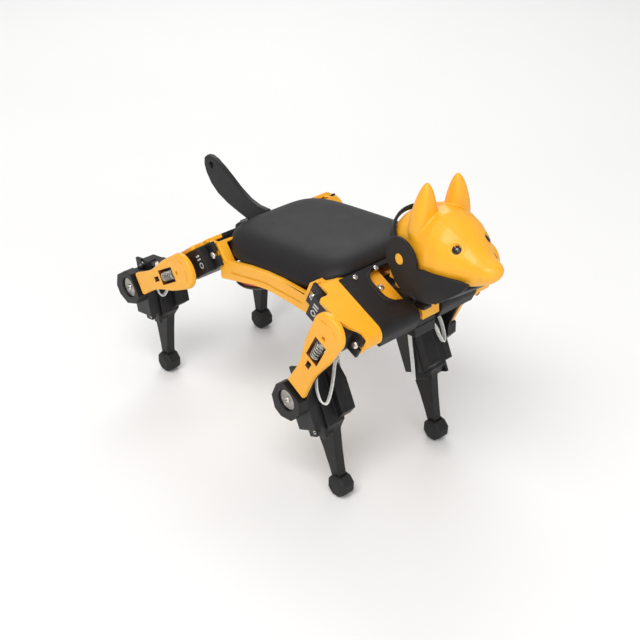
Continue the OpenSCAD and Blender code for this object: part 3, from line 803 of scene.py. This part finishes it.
SCOOP = [(11, 18.4), (16, 14.6), (22.4, 12.7), (28, 13.2), (33, 15.0), (38, 18.2), (42.4, 21.6), (45, 25),
         (42, 26.6), (36, 27.6), (27, 28.6)]
jaw_line = rounded(dense(arc(jaw_pivot.x, jaw_pivot.z - 0.6, 9.7, -8, 205, 36) + SCOOP, 1.5), 2)
JAW_CENTRE = (22.5, 23.5)


def jaw_outer(x, z):
    """The jaw's outer face, from the middle plane: flat round the pivot, curling in to lip and chin."""
    lip = max(0, x - 22)
    chin = max(0, 21 - z) * min(1, max(0, (x - 12) / 10))
    dome = max(0, 1 - (math.dist((x, z), (jaw_pivot.x, jaw_pivot.z)) / 10.6) ** 2)
    return 17.7 - 0.018 * lip ** 2 - 0.045 * chin ** 2 + 0.35 * dome


def jaw_side(bm, y_side):
    shares = (0, 0.2, 0.4, 0.6, 0.78, 0.9, 0.965, 0.99, 1.0)
    lay = {}
    for face in (0, 1):
        for share in shares:
            ring = []
            for px, pz in jaw_line:
                x = JAW_CENTRE[0] + (px - JAW_CENTRE[0]) * share
                z = JAW_CENTRE[1] + (pz - JAW_CENTRE[1]) * share
                y = jaw_outer(x, z)
                rim = {1.0: 0.55, 0.99: 0.18}.get(share, 0)
                y = y - rim if face == 0 else y - 1.7 + rim * 0.8
                ring.append((x, y_side * y, z))
            lay[face, share] = ring if share else [ring[0]]
    loft(bm, [lay[0, s] for s in shares] + [lay[1, s] for s in reversed(shares)])


jaw_bm = bmesh.new()
for y_side in (-1, 1):
    jaw_side(jaw_bm, y_side)
# trough under the muzzle that joins the two sides
under = []
TROUGH = ((22.4, 12.9), (25, 12.8), (28, 13.3), (31, 14.3), (34, 15.6), (37, 17.6), (40, 19.8), (42, 21.4))
for x, z in TROUGH:
    ring = []
    half = jaw_outer(x, z) - 0.7
    for t in [i / 12 for i in range(-12, 13)]:
        ring.append((x, half * t, z + 0.9 * t ** 4 - 0.2))
    for t in [i / 12 for i in range(12, -13, -1)]:
        ring.append((x, half * t, z + 0.9 * t ** 4 + 1.2))
    under.append(ring)
ends = [[tuple(sum(c) / len(under[i]) for c in zip(*under[i]))] for i in (0, -1)]
loft(jaw_bm, [ends[0], *under, ends[1]])
# band over the back of the head
BAND_TILT = math.radians(52)
band_out, band_in = (17.5, 20.5), (16.1, 19.3)
BAND_SECTION = ((band_out, -1), (band_out, -0.82), (band_out, 0.82), (band_out, 1), (band_in, 1),
                (band_in, -1))
band_rings = []
for i in range(-4, 41):
    a = math.pi * i / 36
    c, s = math.cos(a), math.sin(a)
    taper = 2.4 - 0.9 * max(0, s) ** 2
    ring = []
    for (half_w, top), u in BAND_SECTION:
        lift = 0.16 if abs(u) == 1 and half_w == band_out[0] else 0
        y, v = (half_w - lift) * c, (top - lift) * s
        w = u * taper
        ring.append((jaw_pivot.x + w * math.cos(BAND_TILT) - v * math.sin(BAND_TILT), y,
                     jaw_pivot.z + w * math.sin(BAND_TILT) + v * math.cos(BAND_TILT)))
    band_rings.append(ring)
caps = [[tuple(sum(c) / 6 for c in zip(*band_rings[i]))] for i in (0, -1)]
loft(jaw_bm, [caps[0], *band_rings, caps[1]])
jaw_piece = put("jaw_scoop", jaw_bm, head, black_shell, "jaw", ("jaw",))
remeshed(jaw_piece, 0.3, 0.5, 5)


# ---- legs ----

SPRING_START, SPRING_REACH, SPRING_R, WIRE_R, SPRING_Y, TRAVEL = 4.05, 8.4, 2.2, 0.34, 46.6, 1.5


def spring_mesh():
    """Close-wound compression spring with flattened ends."""
    turns, steps = 6.5, 20
    bm = bmesh.new()
    count = int(turns * steps)
    path = []
    for i in range(count + 1):
        t = i / count
        # the end coils lie flat
        rise = min(1, max(0, (t * turns - 0.75) / (turns - 1.5)))
        a = 2 * math.pi * turns * t
        path.append(Vector((SPRING_START + SPRING_REACH * rise, SPRING_Y + SPRING_R * math.cos(a) * 0.93,
                            SPRING_R * math.sin(a))))
    sweep(bm, path, (0,), WIRE_R, 8, Vector((1, 0, 0)))
    return bm


HORN_FACE = 48.2


def horn_mesh():
    """Metal disc on the knee servo's shaft, with a raised rim and a raised middle."""
    bm = bmesh.new()
    rim, dip = HORN_FACE + 0.1, HORN_FACE - 0.15
    lathe(bm, [(0, 44.4), (4.93, 44.4), (4.93, dip), (4.75, rim), (3.9, rim), (3.7, dip), (2.75, dip),
               (2.6, HORN_FACE), (0, HORN_FACE)], 56, (THIGH_LEN, 0, 0))
    lathe(bm, [(0, 38.9), (2.4, 38.9), (2.4, 45), (0, 45)], 32, (THIGH_LEN, 0, 0))
    return bm


def on_outer_edge(q):
    """Whether a corner of the thigh's plate is on the outline of its outer face."""
    outline = math.hypot(q.x + 3.6, q.z) > 8.4 if q.x < 5 else abs(q.z) > 4.4
    return q.y > 47.9 and outline


def in_window(q, across):
    """Whether a face is a wall of the spring window or of the slot; across is how far it faces outward."""
    return across < 0.5 and 2.9 < q.x < 21.2 and abs(q.z) < 3.6


for i, k in enumerate(LEGS):
    t, s = "thigh_" + k, "shank_" + k
    to_thigh = thigh[k].inverted()
    shell = soften("thigh_shell_" + k, orange, t, 0.3, 4,
                   lambda corner: on_outer_edge(to_thigh @ corner))
    # The walls of the spring window and slot take the second material, which is painted shade for the recess.
    shell.data.materials.append(window_shade_paint.material)
    for face in shell.data.polygons:
        across = abs((to_thigh.to_3x3() @ face.normal).normalized().y)
        if in_window(to_thigh @ face.center, across):
            face.material_index = 1
    soften("hip_horn_" + k, nylon, t, 0.15, 2)
    soften("knee_link_" + k, black, "knee_link_" + k, 0.32)
    soften("shank_" + k, black, s, 0.4)
    soften("foot_sock_" + k, rubber, s, 0.75, 4)
    spring = put("spring_coil_" + k, spring_mesh(), thigh[k], spring_steel, t,
                 ("thigh_spring_" + k,))
    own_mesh(spring)
    horn = put("horn_disc_" + k, horn_mesh(), thigh[k], spring_steel, "knee_link_" + k,
               ("knee_horn_" + k,), smooth=False)
    bevel(horn, 0.08, 2)
    place = thigh[k] @ Matrix.Translation((THIGH_LEN, HORN_FACE, 0)) @ spin(20 + 33 * i)
    screws("horn_screw_" + k, [("deck", place)], "knee_link_" + k)


# ---- leads: routes repeated from the CAD, in millimetres ----

KNEE_ROUTE = [(19, 26.1, -2.6), (20.6, 24.6, -1), (19, 22.4, 1.5), (12, 21.8, 3.5), (5, 21.8, 4.5),
              (-2, 21.8, 5.5), (-9.4, 21.9, 7.2), (-11.2, 24.4, 9.6), (-10.4, 28, 11.8), (-5, 31.6, 12.9),
              (1, 34, 11.9), (5, 36.5, 10.9), (3.4, 38.6, 10), (-2, 39, 9.6), (-7.6, 37.8, 9.4),
              (-10.8, 35.4, 6.2)]
STRAND = 0.36


def ribbon(name, matrix, route, body, finish, nodes, flat, strands=3):
    """Round strands moulded side by side, along a smooth route."""
    path = smooth_path(route, 5)
    offsets = [STRAND * 1.85 * (i - (strands - 1) / 2) for i in range(strands)]
    bm = bmesh.new()
    sweep(bm, path, offsets, STRAND, 10, Vector(flat))
    piece = put(name, bm, matrix, finish, body, nodes)


for k in LEGS:
    ribbon("knee_ribbon_" + k, shank[k], KNEE_ROUTE, "shank_" + k, white_lead,
           ("knee_wire_" + k,), (0.1, 0.2, 1))

LEAD_ROUTE = [(-24, -15, -4), (-27, -19, -4.2), (-29.5, -24, -3.4), (-29, -28.5, -2.4), (-25, -31, -1.9),
              (-20, -31.4, -2.1), (-14, -31.2, -1.2), (-9, -30.6, 0.2), (-5, -28.5, 1.2), (-3, -24, 1.4),
              (-2, -19, 0.4), (-2, -15, -1)]
LEAD_R = 0.8
for number, (name, finish, slot) in enumerate((("battery_lead_red", red_lead, "red_lead"),
                                               ("battery_lead_black", black_lead, "red_lead"))):
    shift = Vector((-0.6, 0, -1.9)) * number
    path = smooth_path([Vector(p) + shift for p in LEAD_ROUTE], 6)
    bm = bmesh.new()
    sweep(bm, path, (0,), LEAD_R, 14, Vector((0.1, 0.2, 1)))
    piece = put(name, bm, torso, finish, "torso", ("battery_leads",))
    world = [torso @ p for p in path]

for k in LEGS:
    route = [(-13.6 + 6 * math.cos(math.radians(a)), 24.6 + 2 * math.sin(math.radians(a / 2)),
              -6.9 - 3.4 * math.sin(math.radians(a))) for a in range(0, 181, 18)]
    ribbon("shoulder_ribbon_" + k, bay(k[0] == "f", side[k]), route, "torso", white_lead,
           ("shoulder_wires",), (0, 1, 0.1), 3)


# ---- floor, light, camera ----

def paper():
    n = Nodes("studio_paper")
    cloud = n.span(n.noise(6, 3), 0.3, 0.7)
    n.link(n.mix(cloud, (0.9, 0.9, 0.9), (0.915, 0.915, 0.915)), n.shader.inputs["Base Color"])
    n.shader.inputs["Roughness"].default_value = 0.85
    return n


floor_bm = bmesh.new()
reach, rise, bend = 1.6, 1.4, 0.45
curve = [math.radians(a) for a in range(0, 91, 6)]
profile = [(-reach * 2, 0)]
profile += [(reach + bend * math.sin(a), bend - bend * math.cos(a)) for a in curve]
profile += [(reach + bend, rise)]
columns = []
for along, up in profile:
    columns.append([floor_bm.verts.new((across, along, up)) for across in (-4, 4)])
for a, b in zip(columns, columns[1:]):
    floor_bm.faces.new((a[0], a[1], b[1], b[0]))
floor_mesh = bpy.data.meshes.new("studio_floor")
floor_bm.to_mesh(floor_mesh)
floor_bm.free()
floor_mesh.shade_smooth()
floor = bpy.data.objects.new("studio_floor", floor_mesh)
bpy.context.scene.collection.objects.link(floor)
floor_mesh.materials.append(paper().material)

AZIMUTH, ELEVATION, ROLL = math.radians(47.21), math.radians(32.63), math.radians(1.06)
DISTANCE, LENS = 0.55057, 66.47
target = hips_middle.copy()
target.x -= 0.0043
target.z = 0.05529
level = math.cos(ELEVATION)
back = Vector((math.sin(AZIMUTH) * level, -math.cos(AZIMUTH) * level, math.sin(ELEVATION)))
right = Vector((math.cos(AZIMUTH), math.sin(AZIMUTH), 0))
up = back.cross(right)
right_rolled = right * math.cos(ROLL) + up * math.sin(ROLL)
up_rolled = up * math.cos(ROLL) - right * math.sin(ROLL)
camera_data = bpy.data.cameras.new("camera")
camera_data.lens = LENS
camera_data.sensor_width = 36
camera_data.clip_start = 0.01
camera = bpy.data.objects.new("camera", camera_data)
bpy.context.scene.collection.objects.link(camera)
pose = Matrix.Identity(4)
for row in range(3):
    pose[row][0], pose[row][1], pose[row][2] = right_rolled[row], up_rolled[row], back[row]
    pose[row][3] = (target + back * DISTANCE)[row]
camera.matrix_world = pose
bpy.context.scene.camera = camera


def softbox(name, place, aim, width, height, power, colour=(1, 1, 1)):
    data = bpy.data.lights.new(name, "AREA")
    data.shape = "RECTANGLE"
    data.size, data.size_y = width, height
    data.energy = power
    data.color = colour
    light = bpy.data.objects.new(name, data)
    bpy.context.scene.collection.objects.link(light)
    light.location = place
    light.rotation_euler = (Vector(aim) - Vector(place)).to_track_quat("-Z", "Y").to_euler()


softbox("key", (0.25, -0.55, 0.95), (0, 0, 0.06), 0.7, 0.5, 7.0, (1, 0.985, 0.96))
softbox("fill", (0.95, -0.2, 0.45), (0, 0, 0.06), 0.6, 0.6, 2.2, (0.97, 0.985, 1))
softbox("rear", (-0.65, 0.45, 0.75), (0, 0, 0.07), 0.7, 0.4, 3.3, (1, 1, 1))

world = bpy.data.worlds.new("studio")
bpy.context.scene.world = world
world.use_nodes = True
world.node_tree.nodes["Background"].inputs["Color"].default_value = (1, 1, 1, 1)
world.node_tree.nodes["Background"].inputs["Strength"].default_value = 0.48
bpy.context.scene.view_settings.view_transform = "Standard"
